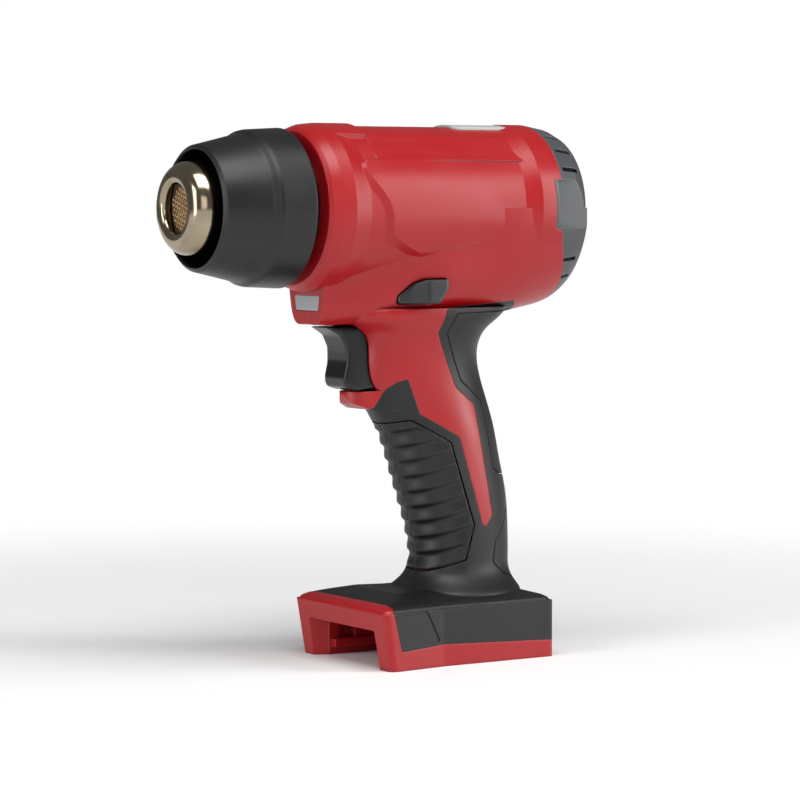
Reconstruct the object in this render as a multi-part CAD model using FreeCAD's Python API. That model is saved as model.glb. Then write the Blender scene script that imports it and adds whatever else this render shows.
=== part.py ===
import FreeCAD, Part
import math
import os

# Cordless heat gun, in millimetres.
# +X is the way the hot air leaves, +Y is the tool's left side, +Z is up.
# The foot stands on Z = 0, the mid-plane between the two housing halves is Y = 0, and X = 0 lies
# half way between the nozzle's tip and the rear rim.

V = FreeCAD.Vector
os.makedirs("parts", exist_ok=True)

# ---------------------------------------------------------------- driving dimensions

AXIS_HEIGHT = 168.8        # nozzle and fan axis above the foot
BODY_FRONT = 33.0          # front face of the barrel ahead of X = 0
REAR_REACH = 81.0          # rear rim behind X = 0
COLLAR_GAP = 4.6           # open gap between barrel and collar
COLLAR_LENGTH = 35.3
NOZZLE_PROUD = 8.1         # nozzle tip ahead of the collar

BARREL_R = 30.2            # barrel under its top facets
RING_R = 31.2              # raised front ring and rear flare
WAIST_R = 29.6             # barrel sides around the side panels
PANEL_PROUD = 1.6          # how far a side panel stands out at its front end
BELLY_SINK = 1.0           # the underside starts this far inside the barrel's surface
FRONT_WALL = 3.0           # wall across the front of the barrel
WALL = 2.6                 # red housing wall, with any rubber on it
SKIN = 1.3                 # rubber overmould thickness
LINE_GAP = 0.35            # visible line between rubber and red housing

NOZZLE_R = 17.1            # outside of the stainless tube
NOZZLE_WALL = 0.8
MOUTH_R = 8.9              # open mouth in the rolled end
COLLAR_FRONT_R = 23.0
COLLAR_REAR_R = 29.2
COLLAR_BORE_R = 21.3
COLLAR_WALL = 2.4

HANDLE_HALF = 16.0         # half the handle's greatest width
FOOT_HALF_FRONT = 31.7
FOOT_HALF_REAR = 28.7
FOOT_FRONT = 8.7
FOOT_KINK = -16.0
FOOT_REAR = -66.0
FOOT_EDGE = 21.3           # height of the foot's sharp upper edge
FOOT_TOP = 26.5
FOOT_BAND = 6.0            # red band under the rubber

SLOT_HALF = 20.5           # battery slot between its side walls
SLOT_HEIGHT = 13.5
SLOT_REAR = -50.0
TERMINAL_TOP = SLOT_HEIGHT + WALL + 2.0
RAIL_REACH = 3.0           # how far each battery rail stands into the slot
RAIL_LOW = 3.0
RAIL_HIGH = 6.0

TRIGGER_HALF = 7.8
TRIGGER_TRAVEL = 6.0
TRIGGER_GAP = 0.5
LOCK_FRONT = -1.5          # foremost corner of the lock button
LOCK_LOW = 35.0            # lower edge of the lock button under the axis
LOCK_HIGH = 26.0           # upper edge under the axis
LOCK_TRAVEL = 5.0
LOCK_GAP = 0.35

SHAFT_R = 1.5
BUSH_CLEAR = 0.03
FAN_R = 23.6
FAN_BLADES = 9
DUCT_R = 24.6              # duct bore around the fan
DUCT_WALL = 1.2
MOTOR_R = 13.8
MOTOR_WALL = 1.0

SCREW_R = 1.45
SCREW_HEAD_R = 2.9
SCREW_HEAD = 2.2
BOSS_R = 3.3
SCREW_CLEAR = 0.15

# ---------------------------------------------------------------- places worked out from them

COLLAR_REAR = BODY_FRONT + COLLAR_GAP
COLLAR_FRONT = COLLAR_REAR + COLLAR_LENGTH
TIP = COLLAR_FRONT + NOZZLE_PROUD
HANDLE_LOW = FOOT_TOP + 5.6
UNDERSIDE = AXIS_HEIGHT - 42.6      # underside of the body above the trigger


# ---------------------------------------------------------------- helpers

def turned(points):
    """A solid of revolution about the nozzle axis from (x, radius) points."""
    corners = [V(x, 0, AXIS_HEIGHT + r) for x, r in points]
    face = Part.Face(Part.makePolygon(corners + corners[:1]))
    return face.revolve(V(0, 0, AXIS_HEIGHT), V(1, 0, 0), 360)


def tube(x0, x1, outer, inner):
    """A plain ring about the nozzle axis."""
    return turned([(x0, inner), (x1, inner), (x1, outer), (x0, outer)])


def rod(x0, x1, radius):
    """A plain cylinder about the nozzle axis."""
    return Part.makeCylinder(radius, x1 - x0, V(x0, 0, AXIS_HEIGHT), V(1, 0, 0))


def box(x0, x1, y0, y1, z0, z1):
    """A block between two limits on each axis."""
    return Part.makeBox(x1 - x0, y1 - y0, z1 - z0, V(x0, y0, z0))


def rounded_wire(corners, radius):
    """A closed wire through 3-D corners of a flat outline, each corner rounded."""
    count = len(corners)
    starts = []
    ends = []
    arcs = []
    for i in range(count):
        here = corners[i]
        back = (corners[i - 1] - here)
        ahead = (corners[(i + 1) % count] - here)
        turn = back.getAngle(ahead)
        reach = min(radius / math.tan(turn / 2), 0.45 * min(back.Length, ahead.Length))
        back.normalize()
        ahead.normalize()
        start = here + back * reach
        end = here + ahead * reach
        bisector = (back + ahead)
        bisector.normalize()
        fitted = reach * math.tan(turn / 2)
        middle = here + bisector * (fitted / math.sin(turn / 2) - fitted)
        starts.append(start)
        ends.append(end)
        arcs.append(Part.Arc(start, middle, end).toShape())
    edges = []
    for i in range(count):
        edges.append(arcs[i])
        following = starts[(i + 1) % count]
        if (following - ends[i]).Length > 1e-6:
            edges.append(Part.makeLine(ends[i], following))
    return Part.Wire(edges)


def side_prism(outline, y0, y1, radius=1.0):
    """A prism across the tool from an outline of (x, z) points in the mid-plane."""
    corners = [V(x, y0, z) for x, z in outline]
    face = Part.Face(rounded_wire(corners, radius))
    return face.extrude(V(0, y1 - y0, 0))


def plan_wire(outline, z, radius):
    """A closed outline of (x, y) points at one height."""
    return rounded_wire([V(x, y, z) for x, y in outline], radius)


def loft(wires, ruled=False):
    """A solid through a row of closed outlines."""
    return Part.makeLoft(wires, True, ruled)


def smooth_wire(points):
    """A closed smooth curve through points."""
    curve = Part.BSplineCurve()
    curve.interpolate(points, PeriodicFlag=True)
    return Part.Wire(curve.toShape())


def rounded_power(angle, power):
    """The corner points of a rounded rectangle of half sizes 1, by its roundness."""
    c = math.cos(angle)
    s = math.sin(angle)
    x = math.copysign(abs(c) ** (2 / power), c)
    y = math.copysign(abs(s) ** (2 / power), s)
    return x, y


def fused(shapes):
    """All the shapes joined into one."""
    whole = shapes[0]
    for shape in shapes[1:]:
        whole = whole.fuse(shape)
    return whole


def mirrored(shape):
    """The shape's copy on the other side of the mid-plane."""
    return shape.mirror(V(0, 0, 0), V(0, 1, 0))


def save(name, shape):
    """Writes one node: a single solid, or a group of separate solids."""
    solids = shape.Solids
    kept = solids[0] if len(solids) == 1 else Part.makeCompound(solids)
    kept.exportStep("parts/" + name + ".step")
    print(name, len(solids), "solids", round(kept.Volume, 1), "mm3", kept.isValid())


# ---------------------------------------------------------------- outer form of the housing

def barrel(grow):
    """The turned barrel: front ring, waist, rear flare and rounded tail, enlarged by grow."""
    front = BODY_FRONT + min(grow, 0)
    rear = -REAR_REACH - min(grow, 0)
    profile = [(rear, 0), (front, 0), (front, RING_R - 2.9), (front - 1.5, RING_R - 1.7),
               (front - 4.8, RING_R - 0.5), (front - 10, RING_R), (front - 17, WAIST_R),
               (rear + 29, WAIST_R),
               (rear + 22.5, RING_R + 0.2), (rear + 13, RING_R + 0.2), (rear + 5, RING_R - 1.2),
               (rear + 0.8, RING_R - 3.2), (rear, RING_R - 4.4)]
    return turned([(x, r + grow if r else 0) for x, r in profile])


def top_facets(grow):
    """The roof of the barrel: a crowned strip between two long flat facets."""
    r = BARREL_R + grow
    front = BODY_FRONT - 23
    rear = -REAR_REACH + 14
    angles = [math.radians(a) for a in (35.5, 59.5, 90, 120.5, 144.5)]
    low_r, high_r, crown, high_l, low_l = [V(front, r * math.cos(a), AXIS_HEIGHT + r * math.sin(a))
                                           for a in angles]
    centre = V(front, 0, AXIS_HEIGHT)
    edges = [Part.makeLine(centre, low_r), Part.makeLine(low_r, high_r),
             Part.Arc(high_r, crown, high_l).toShape(),
             Part.makeLine(high_l, low_l), Part.makeLine(low_l, centre)]
    return Part.Face(Part.Wire(edges)).extrude(V(rear - front, 0, 0))


def ring_crown(grow):
    """The front ring carries on further back over the top of the barrel."""
    back = BODY_FRONT - 23
    ahead = BODY_FRONT - 10
    wedge = box(back, ahead, -15.5, 15.5, AXIS_HEIGHT, AXIS_HEIGHT + 2 * RING_R)
    return rod(back, ahead, RING_R + grow).common(wedge)


def side_panel():
    """The raised flat on the left side, its front and lower edges sloping down to the waist."""
    foot_corners = [(14.8, 23.8, 17.6), (15.4, 28.8, 6.6), (9.3, 27.3, -11.4),
                    (-11.0, 22.4, -19.5), (-58.8, 28.4, -7.5), (-59.3, 23.3, 18.3)]
    face_corners = [(14.0, 25.3, 17.6), (9.6, 30.7, 5.2), (6.5, 30.3, -8.5),
                    (-5.9, 27.8, -15.5), (-53.0, 30.4, -4.5), (-59.0, 24.9, 18.2)]
    shift = BODY_FRONT - 33
    wires = []
    for y in (16.0, WAIST_R + 5):
        ring = []
        for low, high in zip(foot_corners, face_corners):
            share = min((y - low[1]) / (high[1] - low[1]), 3.5)
            x = low[0] + share * (high[0] - low[0])
            z = low[2] + share * (high[2] - low[2])
            ring.append(V(shift + x, y, AXIS_HEIGHT + z))
        wires.append(Part.makePolygon(ring + ring[:1]))
    rear = shift - 61
    front = shift + 19
    low_r = WAIST_R + 1.0
    crown = Part.makeCone(low_r, low_r + PANEL_PROUD + 0.4, front - rear,
                          V(rear, -1.4, AXIS_HEIGHT - 1), V(1, 0, 0))
    return loft(wires, True).common(crown)


def belly_section(x, half, depth, power, grow):
    """The lower half of a body section: the barrel's circle run smoothly into a deep U."""
    blend = 12
    circle = WAIST_R - BELLY_SINK + grow
    points = []
    for k in range(19):
        angle = math.pi * k / 18
        across = abs(math.cos(angle)) / (half + grow)
        down = math.sin(angle) / (depth + grow)
        boxy = (across ** power + down ** power) ** (-1 / power)
        reach = (boxy ** blend + circle ** blend) ** (1 / blend)
        points.append(V(x, reach * math.cos(angle), AXIS_HEIGHT - reach * math.sin(angle)))
    curve = Part.BSplineCurve()
    curve.interpolate(points)
    return Part.Wire([curve.toShape(), Part.makeLine(points[-1], points[0])])


def belly(grow):
    """The underside of the body, from the chin over the trigger to the tail."""
    front = BODY_FRONT - 7.5 + min(grow, 0)
    rear = -REAR_REACH + 0.5
    stations = [(front, 12.2, 42.4, 7), (front - 8, 14.6, 42.7, 6), (front - 20, 19.0, 42.6, 5),
                (front - 36, 23.6, 42.0, 4), (rear + 45, 26.0, 40.6, 3.2), (rear + 20, 28.6, 39.0, 2.4),
                (rear + 9, 28.2, 37.0, 2.2), (rear + 2.5, 27.0, 34.6, 2.1), (rear, 25.6, 32.4, 2.1)]
    return loft([belly_section(x, half, depth, power, grow)
                 for x, half, depth, power in stations])


def handle_section(z, front, rear, half, power, grow):
    """The closed outline of the handle at one height."""
    points = []
    for k in range(16):
        along, across = rounded_power(2 * math.pi * k / 16, power)
        middle = (front + rear) / 2
        reach = (front - rear) / 2 + grow
        points.append(V(middle + reach * along, (half + grow) * across, z))
    return smooth_wire(points)


def handle_height(share):
    """A height on the handle: 0 at its foot, 1 at the underside of the body."""
    return HANDLE_LOW + share * (UNDERSIDE - HANDLE_LOW)


def handle(grow):
    """The hand grip, from inside the foot up into the body."""
    wide = HANDLE_HALF
    stations = [(-0.14, -15.0, -64.0, wide + 6.0, 2.3), (-0.06, -15.6, -63.4, wide + 5.2, 2.3),
                (-0.03, -18.6, -61.9, wide + 2.0, 2.3), (0.01, -20.9, -60.9, wide - 0.2, 2.3),
                (0.06, -21.4, -60.8, wide - 0.6, 2.3), (0.155, -20.0, -60.8, wide - 0.4, 2.25),
                (0.32, -15.2, -59.6, wide, 2.25),
                (0.44, -11.5, -57.0, wide + 0.2, 2.25), (0.585, -6.3, -54.0, wide + 0.4, 2.25),
                (0.70, 0.5, -50.4, wide + 0.5, 2.3), (0.78, 5.0, -47.6, wide + 0.8, 2.4),
                (0.89, 5.5, -45.6, wide + 1.6, 2.6), (0.97, 7.5, -48.4, wide + 3.4, 2.8),
                (1.06, 12.0, -57.0, wide + 6.0, 3.0)]
    return loft([handle_section(handle_height(s), f, r, h, p, grow) for s, f, r, h, p in stations])


def trigger_lip(grow):
    """The rounded nose of the handle under the trigger."""
    low = handle_height(0.65)
    top = handle_height(0.735)
    outline = [(-16, top), (10.0 + grow, top), (10.4 + grow, handle_height(0.715) - grow),
               (8.2, handle_height(0.684) - grow), (3.0, handle_height(0.662) - grow),
               (-6.0, low - grow), (-16, low)]
    slab = side_prism(outline, -20, 20, 1.8)
    plan = [handle_section(z, 10.4, -34.0, 11.4, 2.0, grow) for z in (low - 10, top + 1)]
    return slab.common(loft(plan))


def foot_outline(inset, lean):
    """The foot's outline seen from above, moved in by an inset."""
    front = FOOT_FRONT - inset + lean
    rear = FOOT_REAR + inset
    wide = FOOT_HALF_FRONT - inset + 0.17 * lean
    narrow = FOOT_HALF_REAR - inset
    half = [(front, wide), (FOOT_KINK, narrow), (rear, narrow)]
    return half + [(x, -y) for x, y in reversed(half)]


def foot(grow):
    """The foot: a leaning block with a sharp upper edge and a low crowned top."""
    lean = 3.4
    low = plan_wire(foot_outline(-grow, 0), 0, 2.5)
    edge = plan_wire(foot_outline(-grow, lean), FOOT_EDGE + grow, 2.5)
    crown = [plan_wire(foot_outline(inset - grow, lean), z + grow, 3)
             for inset, z in ((0.3, FOOT_EDGE - 0.4), (1.2, FOOT_EDGE + 1.1), (2.8, FOOT_EDGE + 2.0),
                              (8.0, FOOT_TOP - 1.7), (15.0, FOOT_TOP))]
    return loft([low, edge], True).fuse(loft(crown, True))


def housing_form(grow):
    """The whole outer form without its side panels, larger or smaller by grow."""
    return fused([barrel(grow), top_facets(grow), ring_crown(grow), belly(grow), handle(grow),
                  trigger_lip(grow), foot(grow)])


# ---------------------------------------------------------------- places inside the housing

BORE_R = WAIST_R - WALL                      # round chamber of the barrel
FRONT_HOLE_R = NOZZLE_R + 4.4                # hole for the collar's neck
CAP_SEAM = -REAR_REACH + 13.0                # where the rear cap meets the red housing
CAP_STEP = 3.4                               # the cap reaches this much further at its side panels
CAP_WALL = 2.6
FAN_REAR = -REAR_REACH + 47.0
FAN_LENGTH = 10.0
FAN_FRONT = FAN_REAR + FAN_LENGTH
DUCT_REAR = FAN_REAR - 4.0
MOTOR_FRONT = FAN_REAR - 5.0
MOTOR_REAR = MOTOR_FRONT - 25.0
BELL_LENGTH = 3.0
HOLDER_REAR = BODY_FRONT - 14.0              # heater holder
HOLDER_FRONT = BODY_FRONT - 10.0
TUBE_REAR = HOLDER_FRONT
SLEEVE_R = NOZZLE_R - NOZZLE_WALL - 0.4
SCREEN_X = TIP - 5.0
LOCK_REAR = LOCK_FRONT - 18.5
SWITCH_FRONT = -14.0
SWITCH_REAR = -33.0
SWITCH_LOW = handle_height(0.745)
SWITCH_HIGH = UNDERSIDE - 2.2
STEM_Z = handle_height(0.88)
BELLY_FLOOR = AXIS_HEIGHT - 42.0 + WALL

# Screws from the right: x, height, and how far out the head sits.
SCREWS = [(BODY_FRONT - 18.2, AXIS_HEIGHT - 34.4, 13.0), (-REAR_REACH + 14.6, AXIS_HEIGHT - 31.4, 14.0),
          (-38.2, handle_height(0.85), 11.6), (-44.8, handle_height(0.62), 10.2),
          (-27.6, handle_height(0.20), 9.4), (-3.6, 19.6, 26.0), (-57.3, 9.6, 26.0)]


# ---------------------------------------------------------------- housing shells and rubber

def cap_region():
    """Everything behind the seam of the rear cap."""
    seam = CAP_SEAM
    far = -REAR_REACH - 5
    top = AXIS_HEIGHT + 45
    outline = [(seam, top), (seam, AXIS_HEIGHT + 10.6), (seam + CAP_STEP, AXIS_HEIGHT + 10.6),
               (seam + CAP_STEP, AXIS_HEIGHT - 7.4), (seam, AXIS_HEIGHT - 8.8),
               (seam - 6.5, AXIS_HEIGHT - 28.0), (seam - 9.0, AXIS_HEIGHT - 45), (far, AXIS_HEIGHT - 45),
               (far, top)]
    return side_prism(outline, -50, 50, 0.9)


def rubber_outline():
    """Side view of the overmoulded rubber: handle and foot, without the red wedge."""
    h = handle_height
    return [(20, h(0.640)), (6.5, h(0.648)), (2.0, h(0.672)), (-2.2, h(0.748)), (-4.6, h(0.770)),
            (-8.6, h(0.785)), (-14.7, h(0.642)), (-31.2, h(0.546)), (-41.9, h(0.193)),
            (-43.6, h(0.181)), (-46.7, h(0.226)), (-38.9, h(0.643)), (-38.0, h(0.675)),
            (-29.4, h(0.742)), (-19.6, h(0.962)), (-21.6, h(1.058)), (-54.5, h(1.085)),
            (-58.5, h(1.047)), (-60.5, h(1.018)), (-75, h(1.018)), (-75, FOOT_BAND),
            (FOOT_KINK, FOOT_BAND + 2.2), (4.0, FOOT_BAND + 1.0), (7.8, FOOT_EDGE + 0.2),
            (5.5, FOOT_TOP + 3), (20, FOOT_TOP + 12)]


def ribbed_outline():
    """The border of the ribbed field under the trigger, seen from the side."""
    h = handle_height
    return [(20, h(0.575)), (5.2, h(0.588)), (-4.8, h(0.600)), (-11.9, h(0.617)), (-27.4, h(0.525)),
            (-38.3, h(0.190)), (-35.1, h(0.052)), (-22.5, h(0.012)), (-9.2, h(-0.006)), (20, h(-0.006))]


def rear_pad_outline():
    """The border of the smooth field down the back of the handle."""
    h = handle_height
    return [(-26.4, h(1.036)), (-23.9, h(0.962)), (-31.9, h(0.772)), (-43.0, h(0.684)),
            (-48.0, h(0.414)), (-52.6, h(0.387)), (-75, h(0.36)), (-75, h(1.035)), (-57, h(1.045))]


def heel_pad_outline():
    """The border of the small field at the handle's heel."""
    h = handle_height
    return [(-75, h(0.275)), (-55.6, h(0.239)), (-52.4, h(0.160)), (-48.7, h(0.122)),
            (-47.4, h(0.037)), (-52.0, h(-0.006)), (-56.1, h(-0.022)), (-75, h(-0.035))]


def boss_column(x, z, radius):
    """A column across both halves that a screw is driven into."""
    return Part.makeCylinder(radius, 100, V(x, -50, z), V(0, 1, 0))


def screw_hole(x, z, head):
    """Clearance, pilot and counterbore of one housing screw."""
    head_hole = Part.makeCylinder(SCREW_HEAD_R + SCREW_CLEAR, 40, V(x, -head - 40 + SCREW_HEAD, z),
                                  V(0, 1, 0))
    shank = Part.makeCylinder(SCREW_R + SCREW_CLEAR, head, V(x, -head, z), V(0, 1, 0))
    pilot = Part.makeCylinder(SCREW_R, 8.5, V(x, 0, z), V(0, 1, 0))
    return fused([head_hole, shank, pilot])


def battery_slot():
    """The slot that the battery slides into, open at the front and below, with rail grooves."""
    front = FOOT_FRONT + 10
    slot = box(SLOT_REAR, front, -SLOT_HALF, SLOT_HALF, -1, SLOT_HEIGHT)
    for side in (-1, 1):
        inner = side * (SLOT_HALF - RAIL_REACH)
        outer = side * (SLOT_HALF + 1)
        rail = box(SLOT_REAR + 8, FOOT_FRONT - 6, min(inner, outer), max(inner, outer),
                   RAIL_LOW, RAIL_HIGH)
        slot = slot.cut(rail)
        notch = side * (SLOT_HALF + 2.4)
        slot = slot.fuse(box(-8, -1, min(notch, inner), max(notch, inner), RAIL_HIGH, RAIL_HIGH + 5))
    mouth = loft([rounded_wire([V(x, y, z) for y, z in outline], 0.8)
                  for x, outline in ((FOOT_FRONT + 5, slot_mouth(3.4)), (FOOT_FRONT - 5, slot_mouth(0.2)))],
                 True)
    return slot.fuse(mouth)


def slot_mouth(flare):
    """The battery slot's outline across the tool, opened by a flare."""
    wide = SLOT_HALF + flare
    return [(-wide - 0.8 * flare, -3), (wide + 0.8 * flare, -3), (wide, SLOT_HEIGHT + 0.4 * flare),
            (-wide, SLOT_HEIGHT + 0.4 * flare)]


def lock_outline():
    """Side view of the lock button: a leaning wedge, low and blunt towards the front."""
    low = AXIS_HEIGHT - LOCK_LOW
    high = AXIS_HEIGHT - LOCK_HIGH
    return [(LOCK_FRONT, low), (LOCK_FRONT, low + 3.0), (LOCK_FRONT - 5.3, high - 1.5),
            (LOCK_FRONT - 9.3, high - 0.2), (LOCK_REAR, high), (LOCK_REAR, high - 3.6),
            (LOCK_REAR + 3.8, low)]


def lock_window():
    """The opening through the body for the lock button."""
    wire = rounded_wire([V(x, -40, z) for x, z in lock_outline()], 0.8)
    return Part.Face(wire.makeOffset2D(LOCK_GAP)).extrude(V(0, 80, 0))


def trigger_outline(grow):
    """The trigger seen from the side, opened all round by a gap."""
    h = handle_height
    back = -2.0 - grow
    return [(back, h(0.745) - grow), (9.0 + grow, h(0.738) - grow), (13.2 + grow, h(0.752) - grow),
            (14.0 + grow, h(0.785)), (12.6 + grow, h(0.85)), (12.7 + grow, h(0.905)),
            (15.0 + grow, h(0.955)), (19.5 + grow, h(0.982)), (22.0 + grow, UNDERSIDE - 0.9 + grow),
            (back, UNDERSIDE - 0.9 + grow)]


def trigger_pocket():
    """The space in the housing that the trigger travels through."""
    swept = [(x - (TRIGGER_TRAVEL + 0.6 if x < 0 else 0), z) for x, z in trigger_outline(TRIGGER_GAP)]
    return side_prism(swept, -TRIGGER_HALF - TRIGGER_GAP, TRIGGER_HALF + TRIGGER_GAP, 1.5)


def lens_region(gap):
    """The lamp window on the chin: wider below than above."""
    front = BODY_FRONT - 7.5
    low = AXIS_HEIGHT - 37.4 - gap
    high = AXIS_HEIGHT - 32.0 + gap
    corners = [(-7.6 - gap, low), (7.6 + gap, low), (8.6 + gap, high), (-8.6 - gap, high)]
    face = Part.Face(rounded_wire([V(front + 2, y, z) for y, z in corners], 0.7))
    return face.extrude(V(-4.2 - gap, 0, 0))


def housing_parts():
    """The two red halves, the rear cap, the rubber and the lens, cut from one outer form."""
    panel = side_panel()
    outer = fused([housing_form(0), panel, mirrored(panel)])
    core = fused([barrel(-SKIN), belly(-SKIN), handle(-SKIN), trigger_lip(-SKIN), foot(-SKIN)])
    columns = [boss_column(x, z, BOSS_R) for x, z, head in SCREWS]
    below_roof = box(-REAR_REACH - 5, FOOT_FRONT + 20, -50, 50, -5, SLOT_HEIGHT + WALL)
    tail = box(-REAR_REACH - 5, CAP_SEAM + 2, -50, 50, 0, AXIS_HEIGHT + 50)
    cavities = [belly(-WALL).cut(columns + [tail]), handle(-WALL).cut(columns + [below_roof])]
    chamber = rod(-REAR_REACH - 5, BODY_FRONT - FRONT_WALL, BORE_R)
    neck_hole = rod(0, BODY_FRONT + 5, FRONT_HOLE_R)
    region = cap_region()
    cap_form = outer.common(region)
    skin = outer.cut(core).cut(region)
    whole = skin.common(side_prism(rubber_outline(), -50, 50, 1.2)).cut(trigger_pocket())
    holes = [screw_hole(x, z, head) for x, z, head in SCREWS]
    openings = [battery_slot(), lock_window(), trigger_pocket(), lens_region(0.12), terminal_hole(),
                badge_solid(0.08)]
    red = outer
    for cutter in [chamber, neck_hole] + cavities + [region] + openings + holes + [whole]:
        red = red.cut(cutter)
    pads = (("ribbed_grip", ribbed_outline()), ("rear_pad", rear_pad_outline()),
            ("heel_pad", heel_pad_outline()))
    rubber = {name: whole.common(side_prism(outline, -50, 50, 1.0)).cut(holes)
              for name, outline in pads}
    rubber["overmould"] = whole.cut([widened_prism(outline) for name, outline in pads] + holes
                                    + [facet_cutter()])
    lens = outer.common(lens_region(0)).cut(belly(-2.2))
    return red, rubber, cap_form, lens


def widened_prism(outline):
    """The prism of an outline, opened all round by the width of the line between two pieces."""
    wire = rounded_wire([V(x, -50, z) for x, z in outline], 1.0)
    return Part.Face(wire.makeOffset2D(LINE_GAP)).extrude(V(0, 100, 0))


def terminal_hole():
    """The way up from the battery slot into the handle, which the terminal block passes."""
    return box(SLOT_REAR + 4, SLOT_REAR + 18, -8, 8, SLOT_HEIGHT - 1, TERMINAL_TOP + 2)


def badge_solid(gap):
    """The blank inlay on the roof."""
    x0, x1 = -62.0, -34.0
    plate = box(x0 - gap, x1 + gap, -8 - gap, 8 + gap, AXIS_HEIGHT + BARREL_R - 1.2 - gap,
                AXIS_HEIGHT + BARREL_R + 1.0)
    plate = plate.makeFillet(3.0, [e for e in plate.Edges if abs(e.Vertexes[0].Z - e.Vertexes[-1].Z) > 1])
    return plate.common(rod(x0 - 1, x1 + 1, BARREL_R + 0.9))


def facet_cutter():
    """A wedge that leaves a shallow leaning facet in the rubber near the front of the foot."""
    outline = [(7.0, FOOT_EDGE - 1.0), (-8.2, FOOT_EDGE - 0.2), (-14.6, FOOT_BAND + 3.2),
               (3.2, FOOT_BAND + 2.4)]
    block = side_prism(outline, 20, 40, 1.0)
    slope = [(9.0, FOOT_HALF_FRONT - 0.1), (-16.5, FOOT_HALF_REAR - 0.55), (-16.5, 45), (9.0, 45)]
    lying = Part.Face(Part.makePolygon([V(x, y, 0) for x, y in slope + slope[:1]]))
    cutter = block.common(lying.extrude(V(0, 0, FOOT_TOP + 5)))
    return cutter.fuse(mirrored(cutter))


def save_halves(name, shape):
    """Splits a piece at the mid-plane into its left and right halves."""
    save(name + "_left", shape.common(box(-200, 200, 0, 100, -50, 400)))
    save(name + "_right", shape.common(box(-200, 200, -100, 0, -50, 400)))


# ---------------------------------------------------------------- rear cap

def rear_cap(form):
    """The air inlet: a ribbed cap with side recesses, slots and a louvred rear wall."""
    rear = -REAR_REACH
    inner = BORE_R - 0.4
    cap = form.cut(rod(rear + CAP_WALL, 50, inner))
    spigot = tube(CAP_SEAM - 1, CAP_SEAM + 9, BORE_R - 0.15, BORE_R - 2.2)
    cap = cap.fuse(spigot)
    for side in (-1, 1):
        recess = box(rear - 1, CAP_SEAM + CAP_STEP - 1.6, 28.6, 60, AXIS_HEIGHT - 7.4, AXIS_HEIGHT + 10.2)
        cap = cap.cut(recess if side > 0 else mirrored(recess))
    for degrees in (28, 44, 60, 76, -38, -52):
        for side in (0, 1):
            angle = degrees if side == 0 else 180 - degrees
            slot = box(rear + 3.0, CAP_SEAM - 1.8, BORE_R - 3, RING_R + 3, -0.9, 0.9)
            slot.rotate(V(0, 0, 0), V(1, 0, 0), angle)
            slot.translate(V(0, 0, AXIS_HEIGHT))
            cap = cap.cut(slot)
    dish = rod(rear - 1, rear + 0.9, 21.5)
    cap = cap.cut(dish)
    for k in range(-3, 4):
        height = AXIS_HEIGHT + 5.4 * k
        half = math.sqrt(19.0 ** 2 - (5.4 * k) ** 2) - 1.5
        for y0, y1 in ((-half, -1.6), (1.6, half)):
            if y1 - y0 > 3:
                cap = cap.cut(box(rear - 1, rear + CAP_WALL + 1, y0, y1, height - 1.5, height + 1.5))
    return cap


def intake_screen():
    """The dust screen behind the louvres."""
    x = -REAR_REACH + CAP_WALL + 0.4
    return tube(x, x + 0.8, BORE_R - 0.8, 3.0).fuse(tube(x, x + 0.8, 3.0, 1.0))


# ---------------------------------------------------------------- hot end

def front_collar():
    """The heat guard: a flared sleeve on a neck that is trapped in the housing's front wall."""
    a, b = COLLAR_REAR, COLLAR_FRONT
    neck = FRONT_HOLE_R - 0.15
    bore = NOZZLE_R + 1.6
    back = BODY_FRONT - FRONT_WALL
    flare = COLLAR_REAR_R - COLLAR_FRONT_R
    profile = [(back - 2.4, bore), (a + 3.0, bore), (a + 3.0, COLLAR_REAR_R - COLLAR_WALL),
               (a + 13, COLLAR_REAR_R - COLLAR_WALL - 0.4), (b - 1.0, COLLAR_BORE_R - 0.2),
               (b, COLLAR_BORE_R + 0.3), (b - 1.3, COLLAR_FRONT_R),
               (b - 17.4, COLLAR_FRONT_R + 0.6 * flare), (b - 18.4, COLLAR_FRONT_R + 0.66 * flare),
               (b - 20.0, COLLAR_FRONT_R + 0.84 * flare), (b - 21.4, COLLAR_FRONT_R + 0.89 * flare),
               (a + 0.9, COLLAR_REAR_R), (a, COLLAR_REAR_R - 0.9), (a, neck), (back - 0.1, neck),
               (back - 0.1, neck + 2.0), (back - 2.4, neck + 2.0)]
    return turned(profile)


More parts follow.
